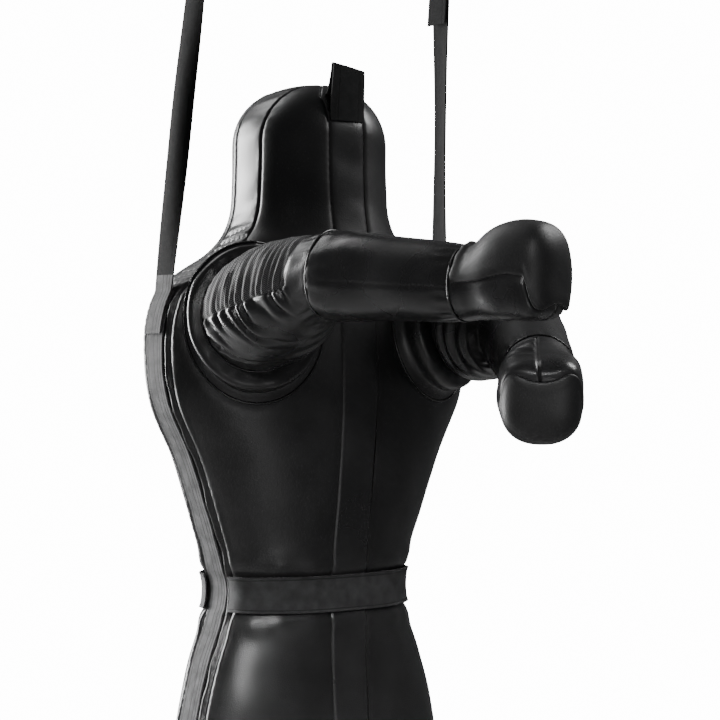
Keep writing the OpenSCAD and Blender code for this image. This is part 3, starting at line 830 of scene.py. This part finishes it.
# --- Upper sleeves ------------------------------------------------------------------------------
# Each upper sleeve is a stuffed tube. Its outer and upper side is a panel of coarse woven nylon,
# gathered on to the leathercloth along a lengthwise seam, which draws both into pleats.
sleeve_cloth = leathercloth("sleeve_leathercloth", 0.014, 0.27)
woven = Finish("woven_nylon", (0.1, 0.1, 0.1), 0.6)
at = woven.add("UVMap", uv_map="UVMap").outputs["UV"]
split = woven.add("SeparateXYZ")
woven.links.new(at, split.inputs[0])
warp = woven.math("SINE", woven.math("MULTIPLY", split.outputs[0], 2 * math.pi / 0.0026))
weft = woven.math("SINE", woven.math("MULTIPLY", split.outputs[1], 2 * math.pi / 0.0026))
grid = woven.math("MULTIPLY", warp, weft)
woven.tint(woven.between(grid, 0, 1, -0.6, 0.8), (0.014, 0.014, 0.0144), (0.16, 0.16, 0.163))
woven.links.new(woven.raise_by(grid, 0.8, 0.0007), woven.shader.inputs["Normal"])
woven.shader.inputs["Specular IOR Level"].default_value = 0.35
UPPER_R = [(0, 74), (0.12, 77.5), (0.35, 78), (0.58, 71), (0.78, 62), (0.92, 57.5), (1, 56.5)]
WOVEN = {"right": (60, 186), "left": (-6, 120)}
WOVEN_END = 0.8
ELBOW_ON, WRIST_ON = 6.0, 8.0


def hand_way(name):
    """A hand's direction, square to its wrist joint's axis and drooping as the record has it."""
    axis = np.array([j["axis"] for j in frame["joints"] if j["name"] == "wrist_%s_flex" % name][0])
    level = unit(np.cross(UP, axis))
    if level[1] > 0:
        level = -level
    droop = math.radians(3 if name == "right" else 15)
    return level * math.cos(droop) - UP * math.sin(droop)


def out_of_limb(base):
    """The normals of a limb's rings of points, turned to point out of it."""
    normal = outward(base, True)
    return normal * np.sign((normal[20, 10] * (base[20, 10] - base[20].mean(0))).sum())


def tube_points(start, end, way0, way1, radius, rows, cols=181):
    """Rings of points from one end of a limb to the other, turning to the far end's plane."""
    t = np.linspace(0, 1, rows)[:, None]
    centre = start * (1 - t) + end * t
    way = unit(way0 * (1 - t) + way1 * t)
    across = unit(np.cross(UP, way))
    up = np.cross(way, across)
    a = np.linspace(0, 2 * math.pi, cols)
    r = radius(t, a[None, :])[..., None]
    return centre[:, None] + r * (np.cos(a)[None, :, None] * across[:, None]
                                  + np.sin(a)[None, :, None] * up[:, None]), t, a[None, :]


for name, side in SIDES.items():
    shoulder = joint_at("shoulder_%s_lift" % name)
    elbow, wrist = joint_at("elbow_%s_bend" % name), joint_at("wrist_%s_flex" % name)
    fore_way = unit(wrist - elbow)
    _, _, root_way = root_axes(side)
    start, end = shoulder + UP * ROOT_UP, elbow + fore_way * ELBOW_ON
    base, t, a = tube_points(start, end, root_way, fore_way,
                             lambda t, a: curve(UPPER_R, t) + 0 * a, 91)
    near, far = WOVEN[name]
    seam_at = far if side < 0 else near
    degrees = np.degrees(a)
    below = (degrees - seam_at) if side < 0 else (seam_at - degrees)
    below = turned(below)
    z = t * np.linalg.norm(end - start)
    down = np.clip(below, 0, 95)
    bent = z - 0.38 * down - 0.0035 * down**2
    bent = bent + 3.4 * np.sin(z / 12 + 1) + 2.0 * np.sin(z / 6.1 + below / 24)
    pleat = np.abs(np.sin(math.pi * bent / 15.5)) ** 0.8 - 0.62
    gathered = ease(t / 0.08) * ease((WOVEN_END + 0.06 - t) / 0.12)
    long_fold = 34 + 15 * np.sin(bent / 9.3 + 2)
    strength = np.where(below > 0,
                        (7.4 + 2.4 * np.sin(bent / 8.7)) * np.exp(-((below / long_fold) ** 2)),
                        2.0 * np.exp(-((below / 40) ** 2)) + 0.9)
    puff = pleat * strength * gathered
    crimp = np.sin(z / 1.35 + 1.6 * np.sin(z / 8.5) + 0.9 * np.sin(below / 14))
    puff = puff + (below < 0) * crimp * (0.5 + 0.9 * np.exp(-((below / 70) ** 2))) * gathered
    inner = np.exp(-(turned(degrees - (0 if side < 0 else 180)) / 62) ** 2)
    puff = puff + inner * gathered * 2.6 * np.sin(2 * math.pi * (z + 6 * np.sin(a * 2)) / 30)
    for border in (near, far):
        gap = np.abs(turned(degrees - border)) * 1.25
        puff = puff + seam(gap, 1.6, 2.4) * ease((WOVEN_END + 0.01 - t) / 0.02)
    in_woven = ((degrees - near) % 360) < (far - near)
    band = np.abs(t - WOVEN_END) * np.linalg.norm(end - start)
    puff = puff + seam(band, 2.0, 2.4) * in_woven
    puff = puff + seam(z, 1.0, 2.4) + seam(z[-1] - z, 1.0, 2.4)
    puff = puff + 0.5 * bump(z - 9, 8) * np.sin(a * 26 + 2 * np.sin(a * 5))
    puff = puff + 0.7 * bump(z[-1] - z - 10, 12) * np.sin(a * 17 + 2 * np.sin(a * 3))
    puff = puff + 1.0 * uneven(base, 80, 61 + side) * gathered
    normal = out_of_limb(base)
    cloth = base + normal * puff[..., None]
    lay = np.stack(np.broadcast_arrays(z, degrees * 1.2), -1)
    last = int(round(WOVEN_END * 90))
    first_col, last_col = int(round(near / 2)), int(round(far / 2))
    columns = np.arange(first_col, last_col + 1) % 180
    middle = (start + end) / 2
    patch = lay_out("woven_sleeve_" + name, cloth[:last + 1, columns],
                    lay[:last + 1, :last_col - first_col + 1], out_of=middle)
    thicken(patch, 1.6)
    finish_off(patch, woven.material)
    rest = np.arange(last_col, first_col + 181) % 180
    side_cloth = cloth[:last + 1, rest]
    body = lay_out("upper_sleeve_" + name, side_cloth, out_of=middle)
    cuff = lay_out("upper_cuff_" + name, cloth[last:], loop=True, out_of=middle)
    for piece in (body, cuff):
        thicken(piece, COVER_THICK)
        finish_off(piece, sleeve_cloth)
    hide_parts("woven_sleeve_" + name)
    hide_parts("upper_sleeve_" + name)
    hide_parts("upper_filling_" + name)
    begin = start + root_way * 2
    for piece in (patch, body, cuff):
        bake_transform(piece)

# --- Forearms -----------------------------------------------------------------------------------
# Each forearm is a plain stuffed tube of leathercloth with a lengthwise seam at its outer side,
# joined to the upper sleeve through a piped ring and narrowing a little to the wrist.
FORE_R = [(0, 56.5), (0.1, 57), (0.5, 53), (0.9, 48), (1, 46.5)]
for name, side in SIDES.items():
    elbow, wrist = joint_at("elbow_%s_bend" % name), joint_at("wrist_%s_flex" % name)
    fore_way, tip_way = unit(wrist - elbow), hand_way(name)
    start, end = elbow + fore_way * ELBOW_ON, wrist + tip_way * WRIST_ON
    base, t, a = tube_points(start, end, fore_way, tip_way,
                             lambda t, a: curve(FORE_R, t) + 0 * a, 91)
    degrees = np.degrees(a)
    seam_at = 189 if side < 0 else -9
    gap = np.abs(turned(degrees - seam_at)) * 0.9
    z = t * np.linalg.norm(end - start)
    puff = seam(gap, 0.7, 1.6) + 0.3 * bump(gap - 6, 5)
    puff = puff + seam(z, 1.0, 2.4) + seam(z[-1] - z, 1.2, 2.4) + 1.2 * uneven(base, 95, 71 + side)
    puff = puff + 0.6 * bump(z - 12, 14) * np.sin(a * 15 + 2 * np.sin(a * 4))
    puff = puff + 0.6 * bump(z[-1] - z - 10, 12) * np.sin(a * 18 + 2 * np.sin(a * 3))
    puff = puff + 0.5 * uneven(base, 34, 75) * bump(z - 22, 26)
    normal = out_of_limb(base)
    fore = lay_out("fore_sleeve_" + name, base + normal * puff[..., None], loop=True,
                   out_of=(start + end) / 2)
    thicken(fore, COVER_THICK)
    finish_off(fore, sleeve_cloth)
    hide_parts("fore_sleeve_" + name, "fore_filling_" + name)
    elbow_ring = tube("elbow_piping_" + name, base[0] - 0.2 * normal[0], 1.6, fore_way,
                      piping_cloth, 0.05)
    wrist_ring = tube("wrist_piping_" + name, base[-1] - 0.2 * normal[-1], 1.6, tip_way,
                      piping_cloth, 0.05)
    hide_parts("elbow_piping_" + name)
    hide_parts("wrist_piping_" + name)
    for piece in (fore, elbow_ring):
        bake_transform(piece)
    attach(wrist_ring, "forearm_" + name)

# --- Hands --------------------------------------------------------------------------------------
# A hand is a curled mitten, stuffed hard. A thick pad covers its back and its tip. Its rim runs
# along both sides and across the tip, and a separate ball of leathercloth fills the palm inside it.
pad_cloth = leathercloth("pad_leathercloth", 0.012, 0.46)
palm_cloth = leathercloth("palm_leathercloth", 0.017, 0.3)
BACK = [(8, 46.5), (14, 51), (24, 49), (34, 57), (46, 66), (62, 74), (80, 78.5), (96, 79),
        (116, 76), (138, 70)]
PALM = [(8, -46.5), (30, -44.5), (100, -42), (138, -39)]
BROAD = [(8, 46.5), (30, 48), (60, 52), (95, 52), (138, 48)]
SHALLOW = {"right": 1.0, "left": 0.84}
CAP_FROM, CAP_LONG, CAP_BLUNT = 106.0, 31.0, 3.0
SIDE_SEAM = [(8, 2), (40, 3), (85, 13), (112, 11), (138, 2)]
reach = np.concatenate([np.linspace(8, CAP_FROM, 53),
                        CAP_FROM + CAP_LONG * np.sin(np.linspace(0, math.pi / 2, 40))[1:]])


def mitten(z, a, deep):
    """Points of a hand's outside at a distance along it and an angle round it."""
    cap = np.clip((z - CAP_FROM) / CAP_LONG, 0, 1)
    shrink = np.clip(1 - cap**CAP_BLUNT, 0, 1) ** (1 / CAP_BLUNT)
    full = 1 - (1 - deep) * ease((z - 24) / 40)
    top, low, wide = curve(BACK, z) * full, curve(PALM, z), curve(BROAD, z)
    high, mid = (top - low) / 2, (top + low) / 2
    blunt = np.where(np.sin(a) < 0, 4.0, 2.5)
    square = (np.abs(np.cos(a)) ** blunt + np.abs(np.sin(a)) ** blunt) ** (-1 / blunt)
    square = 1 + (square - 1) * ease((z - 20) / 60)
    x = wide * shrink * np.cos(a) * square
    yy = mid * (1 - 0.1 * cap) + high * shrink * np.sin(a) * square
    return np.stack(np.broadcast_arrays(x, yy, z), -1)


def from_rim(base):
    """How far a point lies outside the pad's rim, which follows the sides and crosses the tip."""
    on_tip = -19 - 17 * (base[..., 0] / 42) ** 2
    over = ease((base[..., 2] - 110) / 20)
    return base[..., 1] - (1 - over) * curve(SIDE_SEAM, base[..., 2]) - over * on_tip


for name, side in SIDES.items():
    wrist, way = joint_at("wrist_%s_flex" % name), hand_way(name)
    across = unit(np.cross(UP, way))
    up = np.cross(way, across)
    if side > 0:
        across, up = -across, -up
    place = np.array([across, up, way])
    a = np.radians(np.arange(0, 361, 2.0))[None, :]
    z = reach[:, None]
    base = mitten(z, a, SHALLOW[name])
    rim = from_rim(base)
    puff = 1.1 * bump(rim - 6, 7) - 9 * ease(-rim / 6) * ease((z - 10) / 16)
    puff = puff + 1.1 * uneven(base + side * 40, 75, 81) * ease((z - 12) / 25) + seam(z - 8, 1.2, 2.4)
    puff = puff + 0.5 * bump(z - 18, 12) * np.sin(a * 13 + 2 * np.sin(a * 3))
    normal = out_of_limb(base)
    cloth = base + normal * puff[..., None]
    pad = lay_out("finger_pad_" + name, cloth @ place + wrist, loop=True, out_of=wrist + way * 70)
    thicken(pad, 3)
    finish_off(pad, pad_cloth, 60)
    a = np.radians(np.linspace(168, 372, 121))[None, :]
    z = reach[:-8, None]
    base = mitten(z, a, SHALLOW[name])
    middle = np.degrees(a) - 270
    normal = outward(base)
    normal = normal * -np.sign(normal[20, 60, 1])
    rim = from_rim(base)
    puff = -0.4 - 2.4 * ease((z - 10) / 20) * ease((rim + 12) / 12) - 5 * ease(rim / 5)
    puff = puff + seam((middle - 5) * 0.9, 2.6, 2.0) * ease((z - 8) / 8) + seam(z - 8, 1.2, 2.4)
    folds = np.sin((z + 5 * np.sin(middle / 19)) / 4.4) * bump(z - 48, 36)
    puff = puff + 2.0 * folds * ease((middle - 5) / 8) * ease((80 - middle) / 20)
    puff = puff - 1.2 * ease((z - 104) / 20)
    puff = puff + 0.9 * uneven(base, 55, 91) * ease(-rim / 10)
    palm = lay_out("palm_ball_" + name, (base + normal * puff[..., None]) @ place + wrist,
                   out_of=wrist + way * 60)
    thicken(palm, COVER_THICK)
    finish_off(palm, palm_cloth)
    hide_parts("finger_pad_" + name)
    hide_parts("palm_ball_" + name, "hand_filling_" + name)
    for piece in (pad, palm):
        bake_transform(piece)

low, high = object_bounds()
